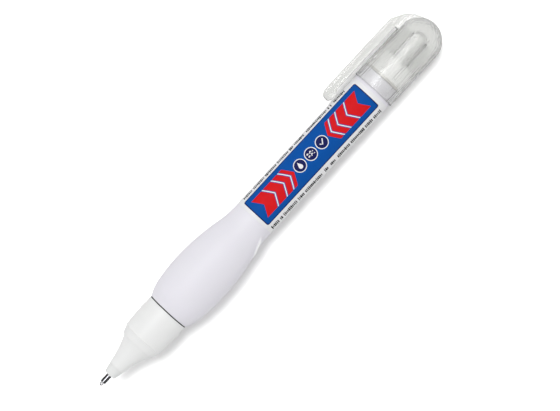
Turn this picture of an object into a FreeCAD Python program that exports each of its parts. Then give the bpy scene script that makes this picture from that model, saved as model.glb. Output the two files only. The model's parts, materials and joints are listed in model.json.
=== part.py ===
"""A squeezable correction-fluid pen, lying on its side with its cap posted on the rear.

The pen's axis runs along X: the writing tip points to -X, the capped rear to +X, the pocket clip to +Y.
The origin is the middle of the pen's box, at the level of the surface that it lies on.
Every piece is drawn about its own X axis, and its Placement sets it along the pen.
"""
import FreeCAD, Part
import Sketcher
import math
import operator
import os
import types

SIZES = [
    # The ball and the metal tip that holds it
    ("ball_radius", 0.5, "writing ball"),
    ("ball_play", 0.03, "room round the ball in its seat"),
    ("ball_shows", 0.3, "how far the ball stands out of the tip"),
    ("valve_travel", 0.25, "how far the ball and pin press back"),
    ("tip_reach", 4.15, "foremost point of the ball to the holder's face"),
    ("tip_lip_wall", 0.07, "wall of the tip round the ball"),
    ("tip_cone_length", 0.85, "coned end of the metal tip"),
    ("tip_cone_radius", 0.68, "rear of that cone"),
    ("tip_shoulder_length", 0.15, "slope from the cone to the tube"),
    ("tip_tube_radius", 0.9, "metal tube"),
    ("tip_tube_wall", 0.28, "wall of the metal tube"),
    ("tip_seat_depth", 5.0, "length of the tube inside the holder"),
    ("tip_throat_length", 0.8, "narrow hole behind the ball's chamber"),
    # The valve behind the ball
    ("pin_radius", 0.3, "valve pin"),
    ("pin_room", 0.12, "room round the pin in the narrow hole"),
    ("pin_play", 0.02, "gap between the ball and the pin"),
    ("collar_room", 0.2, "room round the pin's collar in its chamber"),
    ("collar_width", 0.8, "collar that the spring pushes"),
    ("collar_gap", 0.8, "front of the chamber to the collar"),
    ("pin_tail_radius", 0.55, "pin inside the spring"),
    ("pin_tail_length", 3.0, "length of the pin inside the spring"),
    ("spring_room", 0.35, "pin to the inside of the spring"),
    ("spring_wire_radius", 0.15, "spring wire"),
    ("spring_length", 4.0, "spring as fitted"),
    ("spring_turns", 5, "turns of wire"),
    ("stop_bore_radius", 0.75, "fluid hole of the spring stop"),
    ("stop_flange_step", 1.1, "flange of the stop, beyond its seat"),
    ("stop_flange_width", 0.8, "width of that flange"),
    # The holder of the metal tip
    ("holder_reach", 3.05, "part of the holder that stands out of the nose"),
    ("holder_front_wall", 0.92, "wall round the metal tube at the face"),
    ("holder_rear_radius", 2.53, "holder where it enters the nose"),
    ("holder_step", 0.48, "step that the nose's lip fits in"),
    ("holder_stem_length", 8.8, "nose lip to the holder's flange"),
    ("holder_rim_width", 0.25, "rim that the metal tube stops on"),
    ("holder_chamber_wall", 0.55, "wall of the valve chamber"),
    ("holder_flange_step", 1.55, "flange at the rear, beyond the stem"),
    ("holder_flange_width", 1.5, "width of that flange"),
    # The nose cone
    ("nose_lip_step", 0.07, "nose's lip, beyond the holder's surface"),
    ("flare_length", 9.05, "hollow-sided flare"),
    ("flare_rise", 2.65, "growth of the nose's radius over the flare"),
    ("flare_centre_lead", 3.2, "centre of the flare's curve, ahead of the lip"),
    ("ring_step", 0.45, "step at the front of the ring"),
    ("ring_rise", 0.8, "growth of the ring's radius"),
    ("ring_length", 2.5, "ring that the cap's mouth closes on"),
    ("neck_step", 0.15, "step from the ring to the neck"),
    ("neck_rise", 0.17, "growth of the neck's radius"),
    ("neck_length", 10.9, "neck"),
    ("neck_crown_at", 6.8, "widest place of the neck, from its front"),
    ("nose_taper_length", 3.0, "holder's flange to the full chamber"),
    ("skirt_length", 6.2, "skirt pressed into the bottle's mouth"),
    ("skirt_wall", 0.85, "wall of that skirt"),
    ("joint_gap", 0.15, "seam between the nose and the bottle"),
    # The bottle
    ("front_step", 0.03, "bottle's front edge, beyond the neck"),
    ("mouth_wall", 1.0, "wall round the mouth"),
    ("mouth_depth", 7.0, "depth of the mouth"),
    ("mouth_taper_length", 2.2, "mouth to the inside of the grip"),
    ("mouth_taper_drop", 0.6, "inside of the grip there, less than its widest"),
    ("knee_at", 4.15, "end of the quick swell, from the front edge"),
    ("knee_drop", 0.82, "bottle at that place, less than its widest"),
    ("swell_centre_at", 6.95, "centre of the swell's curve, from the front edge"),
    ("grip_at", 13.7, "widest place of the grip, from the front edge"),
    ("grip_radius", 9.2, "widest place of the grip"),
    ("grip_fall_length", 23.4, "widest place to the straight bottle"),
    ("grip_turnover", 0.66, "share of the fall that bows outwards"),
    ("body_radius", 6.6, "straight bottle"),
    ("body_length", 52.1, "straight bottle"),
    ("bottle_wall", 1.0, "wall of the bottle"),
    ("tail_length", 4.4, "reduced tail that takes the cap"),
    ("tail_edge", 0.4, "chamfer at the tail's end"),
    ("tail_wall", 0.97, "wall of the tail"),
    ("plug_seat_length", 6.5, "length of the tail's opening"),
    ("plug_length", 5.0, "plug inside the bottle"),
    ("plug_wall", 1.0, "wall of the plug"),
    ("plug_flange_width", 0.9, "flange of the plug"),
    ("plug_flange_step", 0.55, "flange's edge, inside the tail's surface"),
    ("mixing_ball_radius", 2.5, "loose ball in the bottle"),
    ("mixing_ball_play", 0.2, "room under the loose ball"),
    ("mixing_ball_lead", 19.0, "loose ball's place, ahead of the tail"),
    # The label
    ("label_margin", 1.0, "label's rear edge, ahead of the tail"),
    ("label_length", 50.6, "label along the pen"),
    ("label_thickness", 0.08, "film"),
    ("label_seam_angle", 6.0, "opening between the label's edges, underneath"),
    # The cap
    ("cap_gap", 0.1, "bottle's shoulder to the cap's mouth"),
    ("cap_length", 26.9, "cap"),
    ("cap_radius", 7.05, "cap"),
    ("cap_wall", 0.75, "wall of the cap"),
    ("cap_fit", 0.08, "room between the cap and the tail"),
    ("rib_count", 8, "ribs inside the cap"),
    ("rib_thickness", 0.7, "ribs"),
    ("rib_start", 6.2, "cap's mouth to the ribs"),
    ("rib_height", 0.5, "ribs ahead of the liner"),
    ("liner_start", 11.9, "cap's mouth to the liner"),
    ("liner_length", 10.6, "liner"),
    ("liner_wall", 0.9, "wall of the liner"),
    ("liner_fit", 0.07, "room between the liner and the tip holder"),
    ("clip_gap", 0.8, "cap to the inner face of the clip"),
    ("clip_depth", 2.8, "clip, towards the axis"),
    ("clip_width", 4.6, "clip, across"),
    ("clip_edge", 0.6, "rounding of the clip's edges"),
    ("clip_overhang", 11.6, "free end of the clip, ahead of the cap's mouth"),
    ("clip_root_at", 18.1, "cap's mouth to the root of the clip"),
    ("clip_root_sink", 0.1, "root of the clip, sunk into the cap's wall"),
    ("clip_flex_gap", 0.2, "room at the root for the clip to bend"),
    ("clip_nose_drop", 1.5, "free end's face, inside the outer face"),
    ("clip_nose_length", 2.6, "rounded free end"),
    ("clip_bump_length", 4.4, "bump under the free end"),
    ("clip_bump_gap", 0.25, "bump to the label"),
    ("crown_length", 0.6, "flat top of the clip's root"),
    ("slope_bend_at", 4.8, "bend in the root's slope, from the root"),
    ("slope_bend_drop", 2.28, "depth of that bend under the outer face"),
    ("slope_end_at", 6.8, "end of the root's slope, from the root"),
    ("slope_end_drop", 4.45, "depth of that end under the outer face"),
    ("slope_foot_angle", 30, "where the slope meets the dome, from the axis"),
]

doc = FreeCAD.newDocument("CorrectionPen")
sheet = doc.addObject("Spreadsheet::Sheet", "Sizes")
for row, (alias, number, note) in enumerate(SIZES, start=1):
    sheet.set(f"A{row}", note)
    sheet.set(f"B{row}", str(number))
    sheet.setAlias(f"B{row}", alias)
doc.recompute()


class Measure:
    """A formula of cells of the sheet, with the number that it comes to."""

    def __init__(self, formula, number):
        self.formula = formula
        self.number = number

    def __add__(self, other):
        return combined(self, "+", other)

    def __sub__(self, other):
        return combined(self, "-", other)

    def __mul__(self, other):
        return combined(self, "*", other)

    def __truediv__(self, other):
        return combined(self, "/", other)

    def __neg__(self):
        return combined(0, "-", self)


SIGNS = {"+": operator.add, "-": operator.sub, "*": operator.mul, "/": operator.truediv}


def measure(thing):
    """A plain number as a measure. A measure is returned as it is."""
    return thing if isinstance(thing, Measure) else Measure(str(thing), float(thing))


def combined(left, sign, right):
    """Two measures, or a measure and a number, joined by a sign."""
    left, right = measure(left), measure(right)
    return Measure(f"({left.formula} {sign} {right.formula})", SIGNS[sign](left.number, right.number))


def leg(long_side, short_side):
    """The other leg of a right triangle."""
    square = long_side * long_side - short_side * short_side
    return Measure(f"sqrt({square.formula})", math.sqrt(square.number))


def cosine(angle):
    return Measure(f"cos({angle.formula})", math.cos(math.radians(angle.number)))


def sine(angle):
    return Measure(f"sin({angle.formula})", math.sin(math.radians(angle.number)))


size = types.SimpleNamespace(**{
    alias: Measure(f"Sizes.{alias}", float(number)) for alias, number, _ in SIZES
})

# Radii that follow from what a piece fits
SEAT_RADIUS = size.ball_radius + size.ball_play
TUBE_BORE = size.tip_tube_radius - size.tip_tube_wall
STEM_RADIUS = size.holder_rear_radius - size.holder_step
CHAMBER_RADIUS = STEM_RADIUS - size.holder_chamber_wall
FLANGE_RADIUS = STEM_RADIUS + size.holder_flange_step
SPRING_RADIUS = size.pin_tail_radius + size.spring_room + size.spring_wire_radius
LIP_RADIUS = size.holder_rear_radius + size.nose_lip_step
FLARE_RADIUS = LIP_RADIUS + size.flare_rise
RING_RADIUS = FLARE_RADIUS + size.ring_step + size.ring_rise
NECK_FRONT_RADIUS = RING_RADIUS + size.neck_step
NECK_REAR_RADIUS = NECK_FRONT_RADIUS + size.neck_rise
BARREL_FRONT_RADIUS = NECK_REAR_RADIUS + size.front_step
MOUTH_RADIUS = BARREL_FRONT_RADIUS - size.mouth_wall
SKIRT_BORE = MOUTH_RADIUS - size.skirt_wall
BODY_BORE = size.body_radius - size.bottle_wall
CAP_BORE = size.cap_radius - size.cap_wall
TAIL_RADIUS = CAP_BORE - size.cap_fit
PLUG_RADIUS = TAIL_RADIUS - size.tail_wall
LABEL_RADIUS = size.body_radius + size.label_thickness
LINER_BORE = size.holder_rear_radius + size.liner_fit
LINER_RADIUS = LINER_BORE + size.liner_wall
CLIP_INNER = size.cap_radius + size.clip_gap
CLIP_OUTER = CLIP_INNER + size.clip_depth

# Where the pieces lie along the pen, from the foremost point of the ball
TIP_FRONT = size.ball_shows
PIN_FRONT = size.ball_radius * 2 + size.pin_play
HOLDER_FRONT = size.tip_reach
CHAMBER_FRONT = HOLDER_FRONT + size.tip_seat_depth + size.holder_rim_width
COLLAR_FRONT = CHAMBER_FRONT + size.collar_gap
SPRING_FRONT = COLLAR_FRONT + size.collar_width
STOP_FRONT = SPRING_FRONT + size.spring_length
NOSE_FRONT = HOLDER_FRONT + size.holder_reach
HOLDER_REAR = NOSE_FRONT + size.holder_stem_length + size.holder_flange_width
NECK_REAR = NOSE_FRONT + size.flare_length + size.ring_length + size.neck_length
BARREL_FRONT = NECK_REAR + size.joint_gap
BARREL_SHOULDER = BARREL_FRONT + size.grip_at + size.grip_fall_length + size.body_length
BARREL_REAR = BARREL_SHOULDER + size.tail_length
CAP_MOUTH = BARREL_SHOULDER + size.cap_gap
POSTED_LENGTH = CAP_MOUTH + size.cap_length

# The pen's axis in the frame: level with the grip's radius, and set off so that grip and clip centre
AXIS_ACROSS = (size.grip_radius - CLIP_OUTER) / 2
AXIS_UP = size.grip_radius


def place(piece, station, lift=0):
    """Sets a piece's own X axis on the pen's axis, its start at the station."""
    piece.setExpression("Placement.Base.x", (station - POSTED_LENGTH / 2).formula)
    piece.setExpression("Placement.Base.y", AXIS_ACROSS.formula)
    piece.setExpression("Placement.Base.z", (AXIS_UP + lift).formula)


def new_sketch(body, name, role):
    """An empty sketch on one of the body's own origin planes."""
    plane = next(feature for feature in body.Origin.OriginFeatures if feature.Role == role)
    sketch = body.newObject("Sketcher::SketchObject", name)
    sketch.AttachmentSupport = (plane, "")
    sketch.MapMode = "FlatFace"
    return sketch


def tie(sketch, kind, edge, point, distance):
    """Ties a point's distance from the sketch's origin along X or Y to the sheet."""
    if measure(distance).number == 0:
        axis = -2 if kind == "DistanceX" else -1
        sketch.addConstraint(Sketcher.Constraint("PointOnObject", edge, point, axis))
        return
    index = sketch.addConstraint(Sketcher.Constraint(kind, -1, 1, edge, point, distance.number))
    sketch.setExpression(f"Constraints[{index}]", distance.formula)


def arc_about(start, finish, centre_x):
    """The arc between two points whose centre is at centre_x, and whether it runs anticlockwise."""
    spread = (finish.x - centre_x) ** 2 - (start.x - centre_x) ** 2
    centre_y = (spread / (finish.y - start.y) + finish.y + start.y) / 2
    centre = FreeCAD.Vector(centre_x, centre_y, 0)
    forward = (start - centre).cross(finish - centre).z > 0
    ends = (start, finish) if forward else (finish, start)
    first, last = (math.atan2(end.y - centre_y, end.x - centre_x) for end in ends)
    if last < first:
        last += 2 * math.pi
    circle = Part.Circle(centre, FreeCAD.Vector(0, 0, 1), (start - centre).Length)
    return Part.ArcOfCircle(circle, first, last), forward


def draw(sketch, corners, arcs=None):
    """Draws a closed outline through corners that are tied to the sheet.

    arcs gives, for the corner that an arc starts from, the X of the arc's centre.
    """
    arcs = arcs or {}
    spots = [FreeCAD.Vector(measure(x).number, measure(y).number, 0) for x, y in corners]
    edges = []
    for index, start in enumerate(spots):
        finish = spots[(index + 1) % len(spots)]
        shape, forward = Part.LineSegment(start, finish), True
        if index in arcs:
            shape, forward = arc_about(start, finish, arcs[index].number)
        points = (1, 2) if forward else (2, 1)
        edges.append((sketch.addGeometry(shape, False), *points))
    for index, (edge, first, _) in enumerate(edges):
        before, _, last = edges[index - 1]
        sketch.addConstraint(Sketcher.Constraint("Coincident", before, last, edge, first))
        tie(sketch, "DistanceX", edge, first, corners[index][0])
        tie(sketch, "DistanceY", edge, first, corners[index][1])
        if index in arcs:
            tie(sketch, "DistanceX", edge, 3, arcs[index])


def turned(label, station, corners, arcs=None):
    """A body turned about the pen's axis from half of its section."""
    body = doc.addObject("PartDesign::Body", label)
    sketch = new_sketch(body, f"{label}_section", "XZ_Plane")
    draw(sketch, corners, arcs)
    turn = body.newObject("PartDesign::Revolution", f"{label}_turn")
    turn.Profile = sketch
    turn.ReferenceAxis = (sketch, ["H_Axis"])
    turn.Midplane = True
    place(body, station)
    doc.recompute()
    return body


def raised(body, name, thickness, corners, arcs=None, turn=0):
    """A flat piece added to a body, drawn beside the axis and as thick to both sides.

    turn is its angle about the axis, from +Y.
    """
    sketch = new_sketch(body, f"{name}_outline", "XY_Plane")
    if measure(turn).number != 0:
        sketch.AttachmentOffset.Rotation = FreeCAD.Rotation(FreeCAD.Vector(1, 0, 0), turn.number)
        sketch.setExpression("AttachmentOffset.Rotation.Angle", turn.formula)
    draw(sketch, corners, arcs)
    pad = body.newObject("PartDesign::Pad", name)
    pad.Profile = sketch
    pad.SideType = "Symmetric"
    pad.setExpression("Length", thickness.formula)
    doc.recompute()
    return pad


def make_writing_ball():
    """The ball that lays down the fluid."""
    ball = doc.addObject("Part::Sphere", "writing_ball")
    ball.setExpression("Radius", size.ball_radius.formula)
    place(ball, size.ball_radius)
    return ball


def make_metal_tip():
    """The drawn metal tube. Its lip is rolled in over the ball."""
    ball_at = size.ball_radius - size.ball_shows
    seat_rear = ball_at + SEAT_RADIUS + size.valve_travel
    throat_rear = seat_rear + size.tip_throat_length
    throat_radius = size.pin_radius + size.pin_room
    tube_rear = size.tip_reach - size.ball_shows + size.tip_seat_depth
    corners = [
        (0, leg(SEAT_RADIUS, ball_at)),
        (ball_at, SEAT_RADIUS),
        (seat_rear, SEAT_RADIUS),
        (seat_rear, throat_radius),
        (throat_rear, throat_radius),
        (throat_rear, TUBE_BORE),
        (tube_rear, TUBE_BORE),
        (tube_rear, size.tip_tube_radius),
        (size.tip_cone_length + size.tip_shoulder_length, size.tip_tube_radius),
        (size.tip_cone_length, size.tip_cone_radius),
        (0, SEAT_RADIUS + size.tip_lip_wall),
    ]
    return turned("metal_tip", TIP_FRONT, corners, {0: ball_at})


def make_valve_pin():
    """The rod that keeps the ball forward, with the collar that its spring pushes."""
    collar_front = COLLAR_FRONT - PIN_FRONT
    collar_rear = collar_front + size.collar_width
    collar_radius = CHAMBER_RADIUS - size.collar_room
    tail_rear = collar_rear + size.pin_tail_length
    corners = [
        (0, 0),
        (0, size.pin_radius),
        (collar_front, size.pin_radius),
        (collar_front, collar_radius),
        (collar_rear, collar_radius),
        (collar_rear, size.pin_tail_radius),
        (tail_rear, size.pin_tail_radius),
        (tail_rear, 0),
    ]
    return turned("valve_pin", PIN_FRONT, corners)


def make_valve_spring():
    """A coil of round wire between the pin's collar and the stop."""
    height = size.spring_length - size.spring_wire_radius * 2
    coil = doc.addObject("Part::Helix", "spring_coil")
    coil.LocalCoord = "Right-handed"
    coil.setExpression("Radius", SPRING_RADIUS.formula)
    coil.setExpression("Height", height.formula)
    coil.setExpression("Pitch", (height / size.spring_turns).formula)
    wire = doc.addObject("Part::Circle", "spring_wire")
    wire.setExpression("Radius", size.spring_wire_radius.formula)
    wire.setExpression("Placement.Base.x", SPRING_RADIUS.formula)
    wire.Placement.Rotation = FreeCAD.Rotation(FreeCAD.Vector(1, 0, 0), 90)
    spring = doc.addObject("Part::Sweep", "valve_spring")
    spring.Sections = [wire]
    spring.Spine = (coil, [])
    spring.Solid = True
    spring.Frenet = True
    spring.Placement.Rotation = FreeCAD.Rotation(FreeCAD.Vector(0, 1, 0), 90)
    place(spring, SPRING_FRONT + size.spring_wire_radius)
    return spring


def make_spring_stop():
    """The bored plug pressed into the holder's rear, which the spring pushes on."""
    seat_rear = HOLDER_REAR - STOP_FRONT
    flange_rear = seat_rear + size.stop_flange_width
    flange_radius = CHAMBER_RADIUS + size.stop_flange_step
    corners = [
        (0, size.stop_bore_radius),
        (0, CHAMBER_RADIUS),
        (seat_rear, CHAMBER_RADIUS),
        (seat_rear, flange_radius),
        (flange_rear, flange_radius),
        (flange_rear, size.stop_bore_radius),
    ]
    return turned("spring_stop", STOP_FRONT, corners)


def make_tip_holder():
    """The sleeve that carries the metal tip in front and the valve behind it."""
    chamber_front = size.tip_seat_depth + size.holder_rim_width
    flange_front = size.holder_reach + size.holder_stem_length
    rear = flange_front + size.holder_flange_width
    corners = [
        (0, size.tip_tube_radius),
        (0, size.tip_tube_radius + size.holder_front_wall),
        (size.holder_reach, size.holder_rear_radius),
        (size.holder_reach, STEM_RADIUS),
        (flange_front, STEM_RADIUS),
        (flange_front, FLANGE_RADIUS),
        (rear, FLANGE_RADIUS),
        (rear, CHAMBER_RADIUS),
        (chamber_front, CHAMBER_RADIUS),
        (chamber_front, TUBE_BORE),
        (size.tip_seat_depth, TUBE_BORE),
        (size.tip_seat_depth, size.tip_tube_radius),
    ]
    return turned("tip_holder", HOLDER_FRONT, corners)


def make_nose_cone():
    """The stiff nose: flare, ring and neck, and the skirt that is pressed into the bottle."""
    ring_front = size.flare_length
    ring_rear = ring_front + size.ring_length
    neck_rear = ring_rear + size.neck_length
    skirt_rear = neck_rear + size.skirt_length
    seat_rear = size.holder_stem_length + size.holder_flange_width
    corners = [
        (0, STEM_RADIUS),
        (0, LIP_RADIUS),
        (ring_front, FLARE_RADIUS),
        (ring_front, FLARE_RADIUS + size.ring_step),
        (ring_rear, RING_RADIUS),
        (ring_rear, NECK_FRONT_RADIUS),
        (neck_rear, NECK_REAR_RADIUS),
        (neck_rear, MOUTH_RADIUS),
        (skirt_rear, MOUTH_RADIUS),
        (skirt_rear, SKIRT_BORE),
        (seat_rear + size.nose_taper_length, SKIRT_BORE),
        (seat_rear, FLANGE_RADIUS),
        (size.holder_stem_length, FLANGE_RADIUS),
        (size.holder_stem_length, STEM_RADIUS),
    ]
    arcs = {1: -size.flare_centre_lead, 5: ring_rear + size.neck_crown_at}
    return turned("nose_cone", NOSE_FRONT, corners, arcs)


def make_squeeze_barrel():
    """The soft bottle: a swollen grip, a straight body and the reduced tail that the cap posts on."""
    grip_bore = size.grip_radius - size.bottle_wall
    fall_end = size.grip_at + size.grip_fall_length
    turnover_at = size.grip_at + size.grip_turnover * size.grip_fall_length
    turnover_drop = size.grip_turnover * (size.grip_radius - size.body_radius)
    shoulder = fall_end + size.body_length
    rear = shoulder + size.tail_length
    corners = [
        (0, MOUTH_RADIUS),
        (0, BARREL_FRONT_RADIUS),
        (size.knee_at, size.grip_radius - size.knee_drop),
        (size.grip_at, size.grip_radius),
        (turnover_at, size.grip_radius - turnover_drop),
        (fall_end, size.body_radius),
        (shoulder, size.body_radius),
        (shoulder, TAIL_RADIUS),
        (rear - size.tail_edge, TAIL_RADIUS),
        (rear, TAIL_RADIUS - size.tail_edge),
        (rear, PLUG_RADIUS),
        (rear - size.plug_seat_length, PLUG_RADIUS),
        (rear - size.plug_seat_length, BODY_BORE),
        (fall_end, BODY_BORE),
        (turnover_at, grip_bore - turnover_drop),
        (size.grip_at, grip_bore),
        (size.mouth_depth + size.mouth_taper_length, grip_bore - size.mouth_taper_drop),
        (size.mouth_depth, MOUTH_RADIUS),
    ]
    arcs = {
        1: size.swell_centre_at,
        2: size.grip_at,
        3: size.grip_at,
        4: fall_end,
        13: fall_end,
        14: size.grip_at,
        15: size.grip_at,
    }
    return turned("squeeze_barrel", BARREL_FRONT, corners, arcs)


def make_tail_plug():
    """The cup-shaped plug that closes the bottle's rear."""
    flange_rear = size.plug_length + size.plug_flange_width
    flange_radius = TAIL_RADIUS - size.plug_flange_step
    plug_bore = PLUG_RADIUS - size.plug_wall
    corners = [
        (0, plug_bore),
        (0, PLUG_RADIUS),
        (size.plug_length, PLUG_RADIUS),
        (size.plug_length, flange_radius),
        (flange_rear, flange_radius),
        (flange_rear, 0),
        (size.plug_length, 0),
        (size.plug_length, plug_bore),
    ]
    return turned("tail_plug", BARREL_REAR - size.plug_length, corners)


def make_mixing_ball():
    """The loose steel ball that stirs the fluid, lying on the bottle's lower wall."""
    ball = doc.addObject("Part::Sphere", "mixing_ball")
    ball.setExpression("Radius", size.mixing_ball_radius.formula)
    lift = size.mixing_ball_radius + size.mixing_ball_play - BODY_BORE
    place(ball, BARREL_SHOULDER - size.mixing_ball_lead, lift)
    return ball


def make_label_film():
    """The printed film wrapped round the straight bottle, with its edges meeting underneath."""
    corners = [
        (0, size.body_radius),
        (0, LABEL_RADIUS),
        (size.label_length, LABEL_RADIUS),
        (size.label_length, size.body_radius),
    ]
    body = turned("label_film", BARREL_SHOULDER - size.label_margin - size.label_length, corners)
    body.Tip.setExpression("Angle", (-size.label_seam_angle + 360).formula)
    return body


def make_cap_shell():
    """The clear cap: a domed tube with ribs inside it and the root of the clip on its dome."""
    dome_at = size.cap_length - size.cap_radius
    body = turned("cap_shell", CAP_MOUTH, [
        (0, CAP_BORE),
        (0, size.cap_radius),
        (dome_at, size.cap_radius),
        (size.cap_length, 0),
        (size.cap_length - size.cap_wall, 0),
        (dome_at, CAP_BORE),
    ], {2: dome_at, 4: dome_at})

    in_wall = CAP_BORE + size.cap_wall / 2
    rib_edge = CAP_BORE - size.rib_height
    rib = raised(body, "cap_rib", size.rib_thickness, [
        (size.rib_start, rib_edge),
        (size.rib_start, in_wall),
        (dome_at, in_wall),
        (dome_at, LINER_RADIUS),
        (size.liner_start, LINER_RADIUS),
        (size.liner_start, rib_edge),
    ], turn=measure(180) / size.rib_count)
    ribs = body.newObject("PartDesign::PolarPattern", "cap_ribs")
    ribs.Originals = [rib]
    ribs.Axis = (rib.Profile[0], ["H_Axis"])
    ribs.Angle = 360
    ribs.setExpression("Occurrences", size.rib_count.formula)
    body.Tip = ribs
    doc.recompute()

    bed = leg(size.cap_radius, size.clip_width / 2) - size.clip_root_sink
    raised(body, "clip_root", size.clip_width, [
        (size.clip_root_at, bed),
        (size.clip_root_at, CLIP_OUTER),
        (size.clip_root_at + size.crown_length, CLIP_OUTER),
        (size.clip_root_at + size.slope_bend_at, CLIP_OUTER - size.slope_bend_drop),
        (size.clip_root_at + size.slope_end_at, CLIP_OUTER - size.slope_end_drop),
        (dome_at + bed * cosine(size.slope_foot_angle), bed * sine(size.slope_foot_angle)),
        (dome_at, bed),
    ], {5: dome_at})
    return body


def make_cap_liner():
    """The inner sleeve that closes round the tip holder. The cap's ribs carry it."""
    round_at = size.liner_length - LINER_RADIUS
    return turned("cap_liner", CAP_MOUTH + size.liner_start, [
        (0, LINER_BORE),
        (0, LINER_RADIUS),
        (round_at, LINER_RADIUS),
        (size.liner_length, 0),
        (size.liner_length - size.liner_wall, 0),
        (round_at, LINER_BORE),
    ], {2: round_at, 4: round_at})


def make_cap_clip():
    """The pocket clip, with a bump under its free end that holds the cloth."""
    body = doc.addObject("PartDesign::Body", "cap_clip")
    root = size.clip_overhang + size.clip_root_at - size.clip_flex_gap
    bump_at = size.clip_bump_length / 2
    arm = raised(body, "clip_arm", size.clip_width, [
        (0, CLIP_OUTER - size.clip_nose_drop),
        (size.clip_nose_length, CLIP_OUTER),
        (root, CLIP_OUTER),
        (root, CLIP_INNER),
        (size.clip_bump_length, CLIP_INNER),
        (bump_at, LABEL_RADIUS + size.clip_bump_gap),
        (0, CLIP_INNER),
    ], {0: size.clip_nose_length, 4: bump_at, 5: bump_at})
    half_width = size.clip_width.number / 2
    long_edges = [
        f"Edge{index}"
        for index, edge in enumerate(arm.Shape.Edges, start=1)
        if all(abs(abs(vertex.Z) - half_width) < 1e-6 for vertex in edge.Vertexes)
        and abs(edge.Vertexes[0].Z - edge.Vertexes[1].Z) < 1e-6
    ]
    rounding = body.newObject("PartDesign::Fillet", "clip_edges")
    rounding.Base = (arm, long_edges)
    rounding.setExpression("Radius", size.clip_edge.formula)
    place(body, CAP_MOUTH - size.clip_overhang)
    return body


pieces = [
    make_writing_ball(),
    make_metal_tip(),
    make_valve_pin(),
    make_valve_spring(),
    make_spring_stop(),
    make_tip_holder(),
    make_nose_cone(),
    make_squeeze_barrel(),
    make_tail_plug(),
    make_mixing_ball(),
    make_label_film(),
    make_cap_shell(),
    make_cap_liner(),
    make_cap_clip(),
]
doc.recompute()

for thing in doc.Objects:
    if "Invalid" in thing.State or "Error" in thing.State:
        raise RuntimeError(f"{thing.Label} failed: {thing.State}")
for piece in pieces:
    if piece.Shape.isNull() or not piece.Shape.isValid() or piece.Shape.Volume <= 0:
        raise RuntimeError(f"{piece.Label} has no valid solid")

os.makedirs("parts", exist_ok=True)
for piece in pieces:
    piece.Shape.exportStep(f"parts/{piece.Label}.step")
    box = piece.Shape.BoundBox
    print(f"{piece.Label:16} {piece.Shape.Volume:9.2f} mm3  X {box.XMin:7.2f} to {box.XMax:7.2f}")
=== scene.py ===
"""The finish of a squeezable correction-fluid pen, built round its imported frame.

The frame is in metres. Outlines are in millimetres, from the front of their piece and from the pen's axis.
"""

import json
import math

import bmesh
import bpy
from mathutils import Matrix, Vector

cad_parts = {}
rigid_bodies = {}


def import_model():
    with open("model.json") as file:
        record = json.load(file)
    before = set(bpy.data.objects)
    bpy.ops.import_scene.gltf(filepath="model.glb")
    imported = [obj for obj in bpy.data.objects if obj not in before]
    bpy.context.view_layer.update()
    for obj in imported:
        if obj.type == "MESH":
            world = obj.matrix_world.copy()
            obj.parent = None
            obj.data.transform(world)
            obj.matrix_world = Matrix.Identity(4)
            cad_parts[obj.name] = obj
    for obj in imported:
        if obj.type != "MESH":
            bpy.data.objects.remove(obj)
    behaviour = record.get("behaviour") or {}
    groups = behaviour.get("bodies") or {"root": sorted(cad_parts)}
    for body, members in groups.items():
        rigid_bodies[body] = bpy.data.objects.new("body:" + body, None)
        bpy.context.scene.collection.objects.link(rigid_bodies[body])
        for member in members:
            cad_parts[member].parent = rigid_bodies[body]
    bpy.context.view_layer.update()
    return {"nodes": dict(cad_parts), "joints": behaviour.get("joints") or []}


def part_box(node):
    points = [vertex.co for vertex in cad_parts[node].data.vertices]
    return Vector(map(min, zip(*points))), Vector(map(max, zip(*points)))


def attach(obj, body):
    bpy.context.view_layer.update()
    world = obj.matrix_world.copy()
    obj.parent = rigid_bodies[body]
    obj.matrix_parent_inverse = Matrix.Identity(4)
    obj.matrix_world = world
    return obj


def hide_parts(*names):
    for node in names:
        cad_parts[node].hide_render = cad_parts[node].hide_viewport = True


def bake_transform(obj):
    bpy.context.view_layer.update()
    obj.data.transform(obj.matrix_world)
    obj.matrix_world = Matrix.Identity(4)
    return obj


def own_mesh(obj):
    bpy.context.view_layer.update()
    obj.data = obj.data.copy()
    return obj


for leftover in list(bpy.data.objects):
    bpy.data.objects.remove(leftover)

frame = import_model()
MM = 0.001
joints = {joint["name"]: joint for joint in frame["joints"]}
axis = Vector(joints["ball_spin"]["pos_m"])


# --------------------------------------------------------------------
# Squeeze bottle. Soft white polyethylene, blow-moulded in one piece: a swollen grip, a straight
# body for the label and a reduced tail for the cap. One flank is scooped for the squeezing thumb.

def bow(start, finish, centre_x, steps=16):
    """The points of a round stretch after start, up to finish, whose centre lies at centre_x."""
    (x0, r0), (x1, r1) = start[:2], finish[:2]
    centre_r = (((x1 - centre_x) ** 2 - (x0 - centre_x) ** 2) / (r1 - r0) + r1 + r0) / 2
    radius = math.hypot(x0 - centre_x, r0 - centre_r)
    first = math.atan2(r0 - centre_r, x0 - centre_x)
    turn = math.remainder(math.atan2(r1 - centre_r, x1 - centre_x) - first, math.tau)
    angles = [first + turn * step / steps for step in range(1, steps + 1)]
    return [(centre_x + radius * math.cos(a), centre_r + radius * math.sin(a)) for a in angles]


def eased(outline, steps=5, most_of_side=0.45):
    """The outline with a small curve in place of each corner that has a third number, its rounding."""
    points = []
    for index, corner in enumerate(outline):
        here = Vector(corner[:2])
        if len(corner) == 2:
            points.append(here)
            continue
        ends = []
        for neighbour in (outline[index - 1], outline[(index + 1) % len(outline)]):
            way = Vector(neighbour[:2]) - here
            ends.append(here + way.normalized() * min(corner[2], way.length * most_of_side))
        for step in range(steps):
            t = step / (steps - 1)
            points.append(ends[0] * (1 - t) ** 2 + here * 2 * t * (1 - t) + ends[1] * t * t)
    return points


def in_scene(name, data):
    """A new object in the scene, at the origin."""
    thing = bpy.data.objects.new(name, data)
    bpy.context.scene.collection.objects.link(thing)
    return thing


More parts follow.
